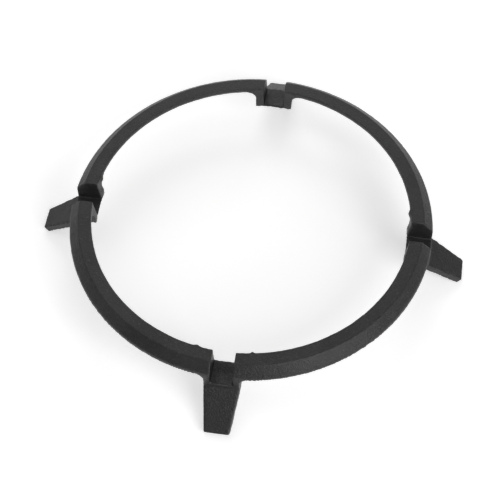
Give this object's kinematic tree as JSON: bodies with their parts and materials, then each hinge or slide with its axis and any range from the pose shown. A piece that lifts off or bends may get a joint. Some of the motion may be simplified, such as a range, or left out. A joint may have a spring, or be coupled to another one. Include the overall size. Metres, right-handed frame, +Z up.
{
  "type": "stove pot stand",
  "caption": "Cast-iron pot stand ring with a flat top, slots for the burner grate's fingers and short splayed legs.",
  "frame": {"origin": "on the ground under the centre of the ring, level with the lowest edges of the legs", "axes": "+Z up along the ring's axis; one leg and slot on each of +X, +Y, -X and -Y"},
  "size_m": [0.2756, 0.2756, 0.0396],
  "materials": {
    "iron": "black sand-cast iron, satin, with a fine grain"
  },
  "bodies": {
    "root": {"pot_stand": "iron"}
  },
  "joints": []
}
